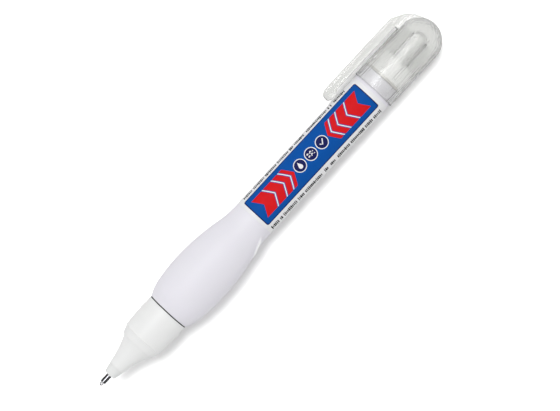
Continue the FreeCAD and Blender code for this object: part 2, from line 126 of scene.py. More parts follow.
def as_piece(name, shape, sharp_from=35):
    """Turns a bmesh into an object with outward faces, smooth but for its sharp edges."""
    bmesh.ops.recalc_face_normals(shape, faces=shape.faces)
    mesh = bpy.data.meshes.new(name)
    shape.to_mesh(mesh)
    shape.free()
    mesh.shade_smooth()
    mesh.set_sharp_from_angle(angle=math.radians(sharp_from))
    return in_scene(name, mesh)


def turned(name, front, outline, around=128, opening=0.0):
    """A closed shape turned about the pen's axis, its outline's x measured from frame x front.

    Angles run from the top by way of +Y. opening leaves that angle out underneath.
    """
    shape = bmesh.new()
    points = eased(outline)
    on_axis = 1e-6
    start = math.pi + opening / 2 if opening else 0
    columns = around + 1 if opening else around
    rings = []
    for x, radius in points:
        if radius < on_axis:
            centre = shape.verts.new((front + x * MM, axis.y, axis.z))
            rings.append([centre] * columns)
            continue
        ring = []
        for column in range(columns):
            angle = start + (math.tau - opening) * column / around
            across, up = math.sin(angle) * radius * MM, math.cos(angle) * radius * MM
            ring.append(shape.verts.new((front + x * MM, axis.y + across, axis.z + up)))
        rings.append(ring)
    for index, ring in enumerate(rings):
        after = rings[(index + 1) % len(rings)]
        if index == len(rings) - 1 and min(points[0][1], points[-1][1]) < on_axis:
            continue
        for column in range(around):
            beside = (column + 1) % columns
            corners = dict.fromkeys([ring[column], ring[beside], after[beside], after[column]])
            if len(corners) > 2:
                shape.faces.new(list(corners))
    if opening:
        for column in (0, around):
            shape.faces.new([ring[column] for ring in rings])
    return as_piece(name, shape)


def add(tree, kind, sockets=None, **settings):
    """Adds a node. A socket takes a plain value, or the output that it is linked to."""
    node = tree.nodes.new(kind)
    for name, value in settings.items():
        setattr(node, name, value)
    for name, value in (sockets or {}).items():
        if isinstance(value, bpy.types.NodeSocket):
            tree.links.new(value, node.inputs[name])
        else:
            node.inputs[name].default_value = value
    return node


def maths(tree, operation, *values):
    """The result of a Math node."""
    return add(tree, "ShaderNodeMath", dict(enumerate(values)), operation=operation).outputs[0]


def vector(tree, **parts):
    """A vector from its X, Y and Z, each 0 unless given."""
    return add(tree, "ShaderNodeCombineXYZ", parts).outputs[0]


def mixed(tree, share, first, second):
    """The mix of two colours: the first where the share is 0, the second where it is 1."""
    return add(tree, "ShaderNodeMixRGB", {"Fac": share, "Color1": first, "Color2": second}).outputs[0]


def place_on_piece(tree):
    """The place on the piece, in metres."""
    return add(tree, "ShaderNodeTexCoord").outputs["Object"]


def noise(tree, place, scale, detail):
    """Soft noise between 0 and 1, with about scale spots in each unit of the place."""
    return add(tree, "ShaderNodeTexNoise", {"Vector": place, "Scale": scale, "Detail": detail}).outputs["Fac"]


def new_material(name):
    """A material and its empty node tree."""
    material = bpy.data.materials.new(name)
    material.use_nodes = True
    material.node_tree.nodes.clear()
    return material, material.node_tree


def show(tree, shader):
    """Makes a shader the surface of its material."""
    add(tree, "ShaderNodeOutputMaterial", {"Surface": shader.outputs[0]})


def new_group(name, kind, inputs, outputs):
    """A node group with named sockets: its tree, its inputs, and a function that feeds its outputs.

    inputs maps a name to its default, or to its kind where it has none. outputs maps a name to its
    kind.
    """
    tree = bpy.data.node_groups.new(name, kind)
    kinds = {float: "Float", int: "Int", 3: "Vector", 4: "Color"}

    def new_socket(label, way, socket_kind):
        """A socket in the group's interface."""
        return tree.interface.new_socket(label, in_out=way, socket_type="NodeSocket" + socket_kind)

    for label, default in inputs.items():
        if isinstance(default, str):
            new_socket(label, "INPUT", default)
        else:
            key = len(default) if isinstance(default, tuple) else type(default)
            new_socket(label, "INPUT", kinds[key]).default_value = default
    for label, socket_kind in outputs.items():
        new_socket(label, "OUTPUT", socket_kind)
    inlet, outlet = tree.nodes.new("NodeGroupInput"), tree.nodes.new("NodeGroupOutput")

    def put_out(results):
        """Links each result to the output of its name."""
        for label, result in results.items():
            tree.links.new(result, outlet.inputs[label])

    return tree, inlet.outputs, put_out


plastic_skin, given, put_out = new_group("plastic_skin", "ShaderNodeTree", {
    "Colour": (0.8, 0.8, 0.8, 1),
    "Shade": (0.7, 0.7, 0.7, 1),
    "Cloud size": 0.01,
    "Roughness": 0.4,
    "Grain size": 0.0002,
    "Rubbing": 0.12,
}, {"Colour": "Color", "Roughness": "Float", "Height": "Float"})
here = place_on_piece(plastic_skin)
clouds = noise(plastic_skin, here, maths(plastic_skin, "DIVIDE", 1.0, given["Cloud size"]), detail=3.0)
grain = noise(plastic_skin, here, maths(plastic_skin, "DIVIDE", 1.0, given["Grain size"]), detail=2.0)
rubbed = maths(plastic_skin, "MULTIPLY", maths(plastic_skin, "SUBTRACT", clouds, 0.5), given["Rubbing"])
put_out({
    "Colour": mixed(plastic_skin, clouds, given["Colour"], given["Shade"]),
    "Roughness": maths(plastic_skin, "ADD", given["Roughness"], rubbed),
    "Height": grain,
})

# Painted shade: darkens a surface close to a seam, in place of the shade that falls in the gap between two
# parts.
seam_painted_shade, given, put_out = new_group("seam_painted_shade", "ShaderNodeTree", {
    "Colour": (0.8, 0.8, 0.8, 1),
    "Painted shade": (0.02, 0.018, 0.016, 1),
    "Seam": 0.0,
    "Reach": 0.0001,
    "Full within": 0.7,
}, {"Colour": "Color"})
along_pen = add(seam_painted_shade, "ShaderNodeSeparateXYZ", {0: place_on_piece(seam_painted_shade)}).outputs["X"]
near_seam = add(seam_painted_shade, "ShaderNodeMapRange", {
    "Value": maths(seam_painted_shade, "ABSOLUTE", maths(seam_painted_shade, "SUBTRACT", along_pen, given["Seam"])),
    "From Min": given["Reach"],
    "From Max": maths(seam_painted_shade, "MULTIPLY", given["Reach"], given["Full within"]),
}).outputs[0]
put_out({"Colour": mixed(seam_painted_shade, near_seam, given["Colour"], given["Painted shade"])})


def moulded(name, colour, shade, roughness, grain_size, grain_depth, cloud_size=0.008, seams=(),
            painted_highlight=None, **shader):
    """An opaque moulded plastic: two close tones in soft clouds, a fine grain, and painted shade darkening it
    next to its seams.

    seams lists the frame x and the reach of each seam, in metres. strained names the attribute of the places
    where the colour is whitened as a painted highlight, along the bottle's fold.
    """
    material, tree = new_material(name)
    skin = add(tree, "ShaderNodeGroup", {
        "Colour": (*colour, 1),
        "Shade": (*shade, 1),
        "Cloud size": cloud_size,
        "Roughness": roughness,
        "Grain size": grain_size,
    }, node_tree=plastic_skin)
    bump = add(tree, "ShaderNodeBump", {
        "Height": skin.outputs["Height"],
        "Strength": 1.0,
        "Distance": grain_depth,
    })
    cover = skin.outputs["Colour"]
    # Each seam darkens the colour near it, as painted shade for the gap there.
    for seam, reach in seams:
        sockets = {"Colour": cover, "Seam": seam, "Reach": reach}
        cover = add(tree, "ShaderNodeGroup", sockets, node_tree=seam_painted_shade).outputs["Colour"]
    # Painted highlight: the colour goes white along the fold, where a lamp's highlight would catch the
    # crease.
    if painted_highlight:
        highlight_share = add(tree, "ShaderNodeAttribute", attribute_name=painted_highlight).outputs["Fac"]
        cover = mixed(tree, highlight_share, cover, (1, 1, 1, 1))
    show(tree, add(tree, "ShaderNodeBsdfPrincipled", {
        "Base Color": cover,
        "Roughness": skin.outputs["Roughness"],
        "Normal": bump.outputs[0],
        **{label.replace("_", " "): value for label, value in shader.items()},
    }))
    return material


def waxy(share, reach=(0.001, 0.001, 0.001)):
    """The settings of a plastic that lets that share of the light wander inside it."""
    return {"Subsurface_Weight": share, "Subsurface_Radius": reach, "Subsurface_Scale": 1.0}


grip_front, grip_widest = (4.15, 8.38), (13.7, 9.19)
grip_turnover, body_front = (29.144, 7.484), (37.1, 6.6)
inner_widest, inner_turnover, inner_front = (13.7, 8.2), (29.144, 6.484), (37.1, 5.6)
bottle_rear = 93.6
bottle_outline = [
    (0, 5.85, 0.1),
    (0, 6.85, 0.16),
    *bow((0.2, 6.93), grip_front, 6.95, 14),
    *bow(grip_front, grip_widest, grip_widest[0], 26),
    *bow(grip_widest, grip_turnover, grip_widest[0], 60),
    *bow(grip_turnover, body_front, body_front[0], 44),
    (63.0, 6.6),
    (89.2, 6.6, 0.15),
    (89.2, 6.22, 0.1),
    (93.2, 6.22, 0.2),
    (bottle_rear, 5.82, 0.15),
    (bottle_rear, 5.25, 0.1),
    (87.1, 5.25, 0.2),
    (87.1, 5.6, 0.2),
    inner_front,
    *bow(inner_front, inner_turnover, body_front[0], 8),
    *bow(inner_turnover, inner_widest, grip_widest[0], 10),
    *bow(inner_widest, (9.2, 7.6), grip_widest[0], 5),
    (7.0, 5.85, 0.3),
]
bottle_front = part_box("squeeze_barrel")[0].x
bottle = turned("squeeze_bottle", bottle_front, bottle_outline, around=300)

crease_start, crease_end = Vector((28.7, 10.6)), Vector((34.7, 6.9))
crease_way = (crease_end - crease_start).normalized()
crease_side = Vector((-crease_way.y, crease_way.x))
crease_grows, crease_fades, label_smooths = (-0.1, 0.25), (0.8, 1.1), (35.4, 37.2)
flank_radius = 7.25
dent_depth, dent_bottom, dent_reach = 0.6, 0.55, 4.6
ridge_height, ridge_width, ridge_at = 0.5, 0.4, -0.1


def eased_step(low, high, value):
    """0 below low, 1 above high, and an easy curve between."""
    share = min(1.0, max(0.0, (value - low) / (high - low)))
    return share * share * (3 - 2 * share)


def flank(x, side):
    """How far the flank stands out, and how sharply it is folded there.

    x is from the bottle's front, and side is the angle from the top. The crease grows and fades
    with the share of its length, and ends under the label's front edge.
    """
    place = Vector((x, side * flank_radius)) - crease_start
    along = place.dot(crease_way) / (crease_end - crease_start).length
    beyond = place.dot(crease_side)
    held = eased_step(*crease_grows, along) * (1 - eased_step(*crease_fades, along))
    held *= 1 - eased_step(*label_smooths, x)
    dent = eased_step(0, dent_bottom, beyond) * (1 - eased_step(dent_bottom, dent_reach, beyond))
    fold = held * math.exp(-((beyond - ridge_at) / ridge_width) ** 2)
    return ridge_height * fold - dent_depth * held * dent, fold


# The fold's sharpness is kept as an attribute, the mask of the painted highlight along the crease.
fold_highlight = bottle.data.attributes.new("fold_highlight", "FLOAT", "POINT")
for vertex in bottle.data.vertices:
    spoke = Vector((vertex.co.y - axis.y, vertex.co.z - axis.z))
    side = math.atan2(-spoke.x, spoke.y)
    move, fold_highlight.data[vertex.index].value = flank((vertex.co.x - bottle_front) / MM, side)
    if spoke.length > 1e-6 and abs(move) > 1e-5:
        spoke = spoke.normalized() * (spoke.length + move * MM)
        vertex.co.y, vertex.co.z = axis.y + spoke.x, axis.z + spoke.y

# The nose's and the plug's seams, where painted shade darkens the plastic.
nose_seam = (bottle_front - 0.05 * MM, 0.21 * MM)
plug_seam = (bottle_front + bottle_rear * MM, 0.1 * MM)
bottle.data.materials.append(moulded(
    "satin_polyethylene", (0.80, 0.785, 0.84), (0.775, 0.765, 0.82),
    roughness=0.46, grain_size=0.00016, grain_depth=0.000004,
    seams=(nose_seam, plug_seam), painted_highlight="fold_highlight", **waxy(0.12, (0.0012, 0.0011, 0.0013)),
))
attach(bottle, "barrel")
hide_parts("squeeze_barrel")


# --------------------------------------------------------------------
# Nose cone. Stiff white polypropylene, injection-moulded and polished: a hollow-sided flare, the
# ring that the cap's mouth closes on, and a neck that is pressed into the bottle's mouth.

flare_end, neck_start = (9.05, 5.25), (11.86, 6.66)
nose = turned("nose_cone_shell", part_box("nose_cone")[0].x, [
    (0, 2.07),
    (0, 2.6, 0.16),
    *bow((0.3, 2.62), flare_end, -3.2, 28),
    (flare_end[0], 5.7, 0.16),
    (11.40, 6.43, 0.06),
    (11.46, 6.79, 0.08),
    (11.74, 6.80, 0.08),
    (11.80, 6.69, 0.03),
    *bow(neck_start, (22.25, 6.83), 18.35, 20),
    (22.45, 6.80, 0.14),
    (22.45, 5.85, 0.1),
    (28.65, 5.83, 0.25),
    (28.65, 5.0, 0.2),
    (13.3, 5.0, 0.2),
    (10.3, 3.62, 0.1),
    (8.8, 3.62, 0.1),
    (8.8, 2.07, 0.05),
], around=160)
nose.data.materials.append(moulded(
    "polished_polypropylene", (0.84, 0.845, 0.84), (0.82, 0.825, 0.82),
    roughness=0.40, grain_size=0.0011, grain_depth=0.000003, seams=(nose_seam,), **waxy(0.08),
))
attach(nose, "barrel")
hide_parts("nose_cone")


# --------------------------------------------------------------------
# Tip holder. A milky white sleeve that carries the metal tip in front and the valve behind it.
# It is pushed through the nose from behind, and its flange stops it.

holder = turned("tip_holder_sleeve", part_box("tip_holder")[0].x, [
    (0, 0.91, 0.05),
    (0, 1.82, 0.22),
    (3.05, 2.53, 0.06),
    (3.05, 2.05),
    (11.85, 2.05),
    (11.85, 3.6, 0.1),
    (13.35, 3.6, 0.1),
    (13.35, 1.5),
    (5.25, 1.5),
    (5.25, 0.62),
    (5.0, 0.62),
    (5.0, 0.91),
], around=96)
holder.data.materials.append(moulded(
    "milky_sleeve", (0.80, 0.81, 0.80), (0.77, 0.78, 0.775),
    roughness=0.36, grain_size=0.0004, grain_depth=0.000002, cloud_size=0.004, **waxy(0.2),
))
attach(holder, "barrel")
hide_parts("tip_holder")


# --------------------------------------------------------------------
# Metal tip and writing ball. The tip is a drawn steel tube, ground to a cone at its end and rolled in over
# the ball. Its tube is painted darker than bare steel, as painted shade in its reflections, and its cone
# lighter, as a painted highlight on the ground finish. The ball is ground and polished harder steel.

def fine_lines(tree, along, across, detail):
    """Noise drawn out along the pen. along and across are its spots in a metre, that way and round it."""
    spots = vector(tree, X=along, Y=across, Z=across)
    place = add(tree, "ShaderNodeVectorMath", {0: place_on_piece(tree), 1: spots}, operation="MULTIPLY")
    return noise(tree, place.outputs[0], 1.0, detail)


drawn_marks, given, put_out = new_group("drawn_marks", "ShaderNodeTree", {
    "Colour": (0.5, 0.5, 0.5, 1),
    "Tarnish": (0.3, 0.3, 0.3, 1),
    "Along": 400.0,
    "Across": 9000.0,
    "Roughness": 0.25,
    "Dulling": 0.16,
}, {"Colour": "Color", "Roughness": "Float", "Height": "Float"})
marks = fine_lines(drawn_marks, given["Along"], given["Across"], detail=4.0)
dulled = maths(drawn_marks, "MULTIPLY", maths(drawn_marks, "SUBTRACT", marks, 0.5), given["Dulling"])
put_out({
    "Colour": mixed(drawn_marks, marks, given["Colour"], given["Tarnish"]),
    "Roughness": maths(drawn_marks, "ADD", given["Roughness"], dulled),
    "Height": marks,
})


def metal(name, colour, tarnish, roughness, along, across, depth):
    """A bare metal with the fine lines of its drawing or grinding."""
    material, tree = new_material(name)
    lines = add(tree, "ShaderNodeGroup", {
        "Colour": (*colour, 1),
        "Tarnish": (*tarnish, 1),
        "Along": along,
        "Across": across,
        "Roughness": roughness,
    }, node_tree=drawn_marks)
    bump = add(tree, "ShaderNodeBump", {"Height": lines.outputs["Height"], "Distance": depth})
    show(tree, add(tree, "ShaderNodeBsdfPrincipled", {
        "Base Color": lines.outputs["Colour"],
        "Metallic": 1.0,
        "Roughness": lines.outputs["Roughness"],
        "Normal": bump.outputs[0],
    }))
    return material


# The tube's steel is darker than bare steel, painted shade in its reflections; the cone's is lighter, a
# painted highlight on its ground finish.
drawn_steel_painted_dark = metal("drawn_steel_painted_dark", (0.12, 0.12, 0.125), (0.09, 0.09, 0.095),
                    roughness=0.14, along=250.0, across=7000.0, depth=0.000002)
ground_steel = metal("ground_steel", (0.22, 0.22, 0.23), (0.18, 0.18, 0.19),
                     roughness=0.12, along=3000.0, across=3000.0, depth=0.0000006)
cone_steel_painted_highlight = metal("ground_steel_painted_highlight", (0.74, 0.74, 0.75), (0.66, 0.66, 0.67),
                     roughness=0.2, along=2500.0, across=2500.0, depth=0.0000006)

tip_front, cone_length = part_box("metal_tip")[0].x, 0.98
tip = turned("metal_tip_tube", tip_front, [
    (0.02, 0.50),
    (0, 0.54, 0.02),
    (0.1, 0.60, 0.06),
    (0.86, 0.68, 0.1),
    (1.0, 0.90, 0.08),
    (8.85, 0.90),
    (8.85, 0.62),
    (1.78, 0.62),
    (1.78, 0.42),
    (0.98, 0.42),
    (0.98, 0.53),
    (0.2, 0.53),
], around=72)
# Cone faces take the lighter steel, a painted highlight; tube faces take the darker, painted shade.
for steel in (drawn_steel_painted_dark, cone_steel_painted_highlight):
    tip.data.materials.append(steel)
for face in tip.data.polygons:
    face.material_index = int(face.center.x < tip_front + cone_length * MM)
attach(tip, "barrel")
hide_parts("metal_tip")

ball_radius = 0.4995
ball = turned("writing_ball_steel", axis.x - ball_radius * MM, [
    (0, 0),
    *bow((0, 0), (ball_radius, ball_radius), ball_radius, 14),
    *bow((ball_radius, ball_radius), (2 * ball_radius, 0), ball_radius, 14),
], around=48)
ball.data.materials.append(ground_steel)
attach(ball, "writing_ball")
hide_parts("writing_ball")


# --------------------------------------------------------------------
# Valve. A steel pin keeps the ball forward, pushed by a coil of spring wire that stands against a
# bored plastic stop. All of it sits inside the holder.

def finished(tree, geometry, material):
    """A tree's geometry made real, in its material."""
    whole = add(tree, "GeometryNodeRealizeInstances", {0: geometry}).outputs[0]
    return add(tree, "GeometryNodeSetMaterial", {"Geometry": whole, "Material": material}).outputs[0]


coil, given, put_out = new_group("coiled_wire", "GeometryNodeTree", {
    "Geometry": "Geometry",
    "Turns": 5.0,
    "Coil radius": 0.001,
    "Length": 0.004,
    "Wire radius": 0.0001,
    "Start": (0, 0, 0),
    "Wire": "Material",
}, {"Geometry": "Geometry"})
winding = add(coil, "GeometryNodeCurveSpiral", {
    "Resolution": 40,
    "Rotations": given["Turns"],
    "Start Radius": given["Coil radius"],
    "End Radius": given["Coil radius"],
    "Height": given["Length"],
})
section = add(coil, "GeometryNodeCurvePrimitiveCircle", {"Resolution": 16, "Radius": given["Wire radius"]})
wound = add(coil, "GeometryNodeCurveToMesh", {
    "Curve": winding.outputs[0],
    "Profile Curve": section.outputs[0],
    "Fill Caps": True,
})
laid = add(coil, "GeometryNodeTransform", {
    "Geometry": wound.outputs[0],
    "Translation": given["Start"],
    "Rotation": (0, math.pi / 2, 0),
})
put_out({"Geometry": finished(coil, laid.outputs[0], given["Wire"])})


def grown(name, tree, values, start=None):
    """The plain mesh that a Geometry Nodes tree makes from those inputs, as a new piece."""
    source = in_scene(name + "_source", start or bpy.data.meshes.new(name))
    modifier = source.modifiers.new(tree.name, "NODES")
    modifier.node_group = tree
    for item in tree.interface.items_tree:
        if item.in_out == "INPUT" and item.name in values:
            modifier[item.identifier] = values[item.name]
    bpy.context.view_layer.update()
    evaluated = source.evaluated_get(bpy.context.evaluated_depsgraph_get())
    mesh = bpy.data.meshes.new_from_object(evaluated)
    bpy.data.objects.remove(source)
    mesh.name = name
    return in_scene(name, mesh)


spring_low, spring_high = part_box("valve_spring")
spring_length, wire_radius, kept_inside = spring_high.x - spring_low.x, 0.15 * MM, 0.98
spring_wire = metal("spring_wire", (0.55, 0.54, 0.52), (0.40, 0.39, 0.37),
                    roughness=0.3, along=1500.0, across=1500.0, depth=0.000001)
spring = grown("valve_spring_wire", coil, {
    "Turns": 5.0,
    "Coil radius": (spring_high.z - spring_low.z) / 2 - wire_radius,
    "Length": spring_length - wire_radius * 2,
    "Wire radius": wire_radius * kept_inside,
    "Start": (spring_low.x + wire_radius, axis.y, axis.z),
    "Wire": spring_wire,
})
spring.data.shade_smooth()
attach(spring, "barrel")
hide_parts("valve_spring")
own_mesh(spring)

natural_plastic = moulded(
    "natural_acetal", (0.72, 0.71, 0.67), (0.68, 0.67, 0.63),
    roughness=0.4, grain_size=0.0003, grain_depth=0.000002, cloud_size=0.003,
    seams=(plug_seam,), **waxy(0.2),
)
for node, finish in {
    "valve_pin": drawn_steel_painted_dark,
    "spring_stop": natural_plastic,
    "mixing_ball": ground_steel,
}.items():
    frame["nodes"][node].material_slots[0].material = finish


# --------------------------------------------------------------------
# Tail plug. A natural plastic cup pressed into the bottle's rear after filling. Its rear face is
# dished, with the mark of the moulding gate in the middle.

plug = turned("tail_plug_cup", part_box("tail_plug")[0].x, [
    (0, 4.25, 0.15),
    (0, 5.24, 0.3),
    (5.0, 5.24),
    (5.02, 5.66, 0.1),
    (5.9, 5.66, 0.22),
    (5.9, 4.3, 0.12),
    (5.66, 4.1, 0.1),
    (5.66, 0.9, 0.05),
    (5.8, 0.7, 0.08),
    (5.8, 0),
    (5.0, 0),
    (5.0, 4.25, 0.3),
], around=120)
plug.data.materials.append(natural_plastic)
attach(plug, "barrel")
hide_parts("tail_plug")


# --------------------------------------------------------------------
# Label. A white film wrapped round the straight body, its edges all but meeting underneath, and
# printed in five inks: a framed blue panel with red chevrons and navy roundels, and rows of marks.

film_low, film_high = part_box("label_film")
film_inner, film_radius, film_rounding, film_opening = 6.605, 6.68, 0.03, math.radians(6)
film_length = (film_high.x - film_low.x) / MM
film = turned("label_film_wrap", film_low.x, [
    (0, film_inner),
    (0, film_radius, film_rounding),
    (film_length, film_radius, film_rounding),
    (film_length, film_inner),
], around=180, opening=film_opening)
film.data.materials.append(moulded(
    "white_film", (0.815, 0.815, 0.825), (0.80, 0.80, 0.815),
    roughness=0.42, grain_size=0.002, grain_depth=0.000003, cloud_size=0.02,
))
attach(film, "barrel")
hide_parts("label_film")


def wrapped(mesh, lift):
    """Wraps a flat mesh round the film, its X along the pen from the film's front and its Y round it."""
    for vertex in mesh.vertices:
        angle = vertex.co.y / (film_radius * MM)
        reach = film_radius * MM + lift + vertex.co.z
        across, up = reach * math.sin(angle), reach * math.cos(angle)
        vertex.co = (film_low.x + vertex.co.x, axis.y + across, axis.z + up)


def ink(name, colour, shade):
    """A printing ink without much gloss, a little uneven in its cover."""
    return moulded(name, colour, shade, roughness=0.5, grain_size=0.0005, grain_depth=0.0000008,
                   cloud_size=0.0015, Specular_IOR_Level=0.06)


def pulled_out(shape, faces, way):
    """Gives flat faces a thickness, by pulling a copy of them out that way."""
    pulled = bmesh.ops.extrude_face_region(shape, geom=faces, use_keep_orig=True)["geom"]
    corners = [part for part in pulled if isinstance(part, bmesh.types.BMVert)]
    bmesh.ops.translate(shape, verts=corners, vec=way)


ink_thickness, first_lift, layer_step, bend_width = 0.012, 0.002, 0.014, 0.25


def printed(name, loops, layer, material):
    """An ink layer from flat closed loops in millimetres. A loop inside another is a hole in it.

    The flat shape is cut into strips of bend_width, so that it bends round the film.
    """
    curve = bpy.data.curves.new(name, "CURVE")
    curve.dimensions = "2D"
    curve.fill_mode = "BOTH"
    for loop in loops:
        spline = curve.splines.new("POLY")
        spline.points.add(len(loop) - 1)
        for point, (along, round_it) in zip(spline.points, loop):
            point.co = (along, round_it, 0, 1)
        spline.use_cyclic_u = True
    drawn = in_scene(name, curve)
    flat = bpy.data.meshes.new_from_object(drawn)
    bpy.data.objects.remove(drawn)
    shape = bmesh.new()
    shape.from_mesh(flat)
    bmesh.ops.remove_doubles(shape, verts=shape.verts, dist=1e-5)
    bmesh.ops.dissolve_limit(shape, angle_limit=0.01, verts=shape.verts, edges=shape.edges)
    lowest = min(vertex.co.y for vertex in shape.verts)
    highest = max(vertex.co.y for vertex in shape.verts)
    strip = math.floor(lowest / bend_width) * bend_width + bend_width
    while strip < highest:
        everything = shape.verts[:] + shape.edges[:] + shape.faces[:]
        bmesh.ops.bisect_plane(shape, geom=everything, plane_co=(0, strip, 0), plane_no=(0, 1, 0))
        strip += bend_width
    bmesh.ops.triangulate(shape, faces=[face for face in shape.faces if len(face.verts) > 4])
    pulled_out(shape, shape.faces[:], (0, 0, ink_thickness))
    bmesh.ops.scale(shape, verts=shape.verts, vec=(MM, MM, MM))
    piece = as_piece(name, shape, sharp_from=50)
    wrapped(piece.data, (first_lift + layer_step * layer) * MM)
    piece.data.materials.append(material)
    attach(piece, "barrel")


def arc(x, y, radius, angles):
    """Points round a centre, at those angles."""
    return [(x + radius * math.cos(angle), y + radius * math.sin(angle)) for angle in angles]


def block(low_x, high_x, low_y, high_y, rounding, steps=6):
    """A rectangle with rounded corners."""
    near_x, far_x, near_y, far_y = low_x + rounding, high_x - rounding, low_y + rounding, high_y - rounding
    corners = [(near_x, near_y, 2), (far_x, near_y, 3), (far_x, far_y, 0), (near_x, far_y, 1)]
    return [
        point
        for x, y, quarter in corners
        for point in arc(x, y, rounding, [math.pi / 2 * (quarter + k / steps) for k in range(steps + 1)])
    ]


def disc(x, y, radius, points=40):
    """A circle."""
    return arc(x, y, radius, [math.tau * k / points for k in range(points)])


def chevron(x, y, width, half_height, lean, way):
    """A chevron whose middle leans ahead by lean. way is 1 or -1, along the pen or back."""
    return [
        (x, y - half_height),
        (x + way * width, y - half_height),
        (x + way * (width + lean), y),
        (x + way * width, y + half_height),
        (x, y + half_height),
        (x + way * lean, y),
    ]


def drop(x, y, radius, belly_from=150, belly_turn=240, steps=20, height=2.3):
    """A falling drop, pointed towards +Y. Its height is in radii, and its angles are in degrees."""
    angles = [math.radians(belly_from + belly_turn * k / steps) for k in range(steps + 1)]
    return arc(x, y, radius, angles) + [(x, y + radius * height)]


def stroke(points, width):
    """A band of that width along a line of points."""
    left, right = [], []
    for index, point in enumerate(points):
        before = Vector(points[max(index - 1, 0)])
        after = Vector(points[min(index + 1, len(points) - 1)])
        way = (after - before).normalized() * width / 2
        left.append((point[0] - way.y, point[1] + way.x))
        right.append((point[0] + way.y, point[1] - way.x))
    return left + right[::-1]


navy_ink = ink("navy_ink", (0.012, 0.016, 0.105), (0.009, 0.012, 0.085))
blue_ink = ink("blue_ink", (0.0030, 0.086, 0.375), (0.0025, 0.076, 0.345))
red_ink = ink("red_ink", (0.70, 0.012, 0.016), (0.62, 0.009, 0.013))
white_ink = ink("white_ink", (0.84, 0.84, 0.85), (0.80, 0.80, 0.82))

front_edge, rear_edge, lower_edge, upper_edge = 1.1, 49.2, -4.9, 6.1
frame_width, panel_corner = 0.34, 0.7
frame_loop = block(front_edge, rear_edge, lower_edge, upper_edge, panel_corner)
panel_loop = block(front_edge + frame_width, rear_edge - frame_width,
                   lower_edge + frame_width, upper_edge - frame_width, panel_corner - frame_width)
printed("label_frame", [frame_loop, panel_loop], 0, navy_ink)
printed("label_panel", [panel_loop], 0, blue_ink)

middle_x, middle_y = (front_edge + rear_edge) / 2, (lower_edge + upper_edge) / 2
bar_widths, bar_half, bar_lean = (4.2, 3.0, 2.0, 1.2), 3.5, 2.1
bars_reach, bar_gap = 22.3, 0.85
slip_width, slip_back = bar_gap * 0.44, bar_gap * 0.72
bars, slips = [], []
for way in (1, -1):
    edge = middle_x - way * bars_reach
    for width in bar_widths:
        bars.append(chevron(edge, middle_y, width, bar_half, bar_lean, way))
        edge += way * (width + bar_gap)
        if width != bar_widths[-1]:
            slips.append(chevron(edge - way * slip_back, middle_y, slip_width, bar_half, bar_lean, way))
printed("label_chevrons", bars, 1, red_ink)

roundel_radius, roundel_pitch, rim_outside, rim_inside = 2.05, 4.7, 0.02, 0.24
centres = [middle_x - roundel_pitch, middle_x, middle_x + roundel_pitch]
printed("label_roundels", [disc(x, middle_y, roundel_radius) for x in centres], 1, navy_ink)
rims = [disc(x, middle_y, roundel_radius + step) for x in centres for step in (rim_outside, -rim_inside)]
drop_x, wave_x, tick_x = centres
wave_length, wave_steps, wave_height, wave_shift = 1.1, 11, 0.34, 0.42
wave = [
    (wave_x + wave_length * (k / wave_steps - 1), wave_height * math.sin(math.tau * k / wave_steps))
    for k in range(2 * wave_steps + 1)
]
waves = [[(x, middle_y + rise + shift) for x, rise in wave] for shift in (wave_shift, -wave_shift)]
tick = [(tick_x - 0.85, middle_y + 0.05), (tick_x - 0.25, middle_y - 0.6), (tick_x + 0.9, middle_y + 0.75)]
printed("label_white_marks", rims + slips + [
    drop(drop_x, middle_y - 0.35, radius=0.68),
    *(stroke(line, width=0.3) for line in waves),
    stroke(tick, width=0.36),
], 2, white_ink)

rows, given, put_out = new_group("rows_of_marks", "GeometryNodeTree", {
    "Geometry": "Geometry",
    "Start": (0, 0, 0),
    "Marks": 100,
    "Pitch": 0.0004,
    "Rows": 1,
    "Row pitch": 0.001,
    "Height": 0.0005,
    "Bends": 3,
    "Gaps": 0.2,
    "Narrowest": 0.5,
    "Widest": 0.85,
    "Lowest": 0.55,
    "Thickness": 0.00001,
    "Seed": 1,
    "Ink": "Material",
}, {"Geometry": "Geometry"})
line = add(rows, "GeometryNodeMeshLine", {
    "Count": given["Marks"],
    "Start Location": given["Start"],
    "Offset": vector(rows, X=given["Pitch"]),
})
step_down = vector(rows, Y=given["Row pitch"])
down = add(rows, "GeometryNodeMeshLine", {"Count": given["Rows"], "Offset": step_down})
sheet = add(rows, "GeometryNodeInstanceOnPoints", {"Points": down.outputs[0], "Instance": line.outputs[0]})
spots = add(rows, "GeometryNodeRealizeInstances", {0: sheet.outputs[0]})
skipped = add(rows, "FunctionNodeRandomValue", {
    "Probability": given["Gaps"],
    "Seed": given["Seed"],
}, data_type="BOOLEAN")
kept = add(rows, "GeometryNodeDeleteGeometry", {
    "Geometry": spots.outputs[0],
    "Selection": skipped.outputs[3],
})
narrowest = maths(rows, "MULTIPLY", given["Pitch"], given["Narrowest"])
widest = maths(rows, "MULTIPLY", given["Pitch"], given["Widest"])
lowest = maths(rows, "MULTIPLY", given["Height"], given["Lowest"])
mark_size = add(rows, "FunctionNodeRandomValue", {
    0: vector(rows, X=narrowest, Y=lowest, Z=given["Thickness"]),
    1: vector(rows, X=widest, Y=given["Height"], Z=given["Thickness"]),
    "Seed": given["Seed"],
}, data_type="FLOAT_VECTOR")
mark = add(rows, "GeometryNodeMeshCube", {"Size": (1, 1, 1), "Vertices Y": given["Bends"]})
marks_set = add(rows, "GeometryNodeInstanceOnPoints", {
    "Points": kept.outputs[0],
    "Instance": mark.outputs[0],
    "Scale": mark_size.outputs[0],
})
put_out({"Geometry": finished(rows, marks_set.outputs[0], given["Ink"])})

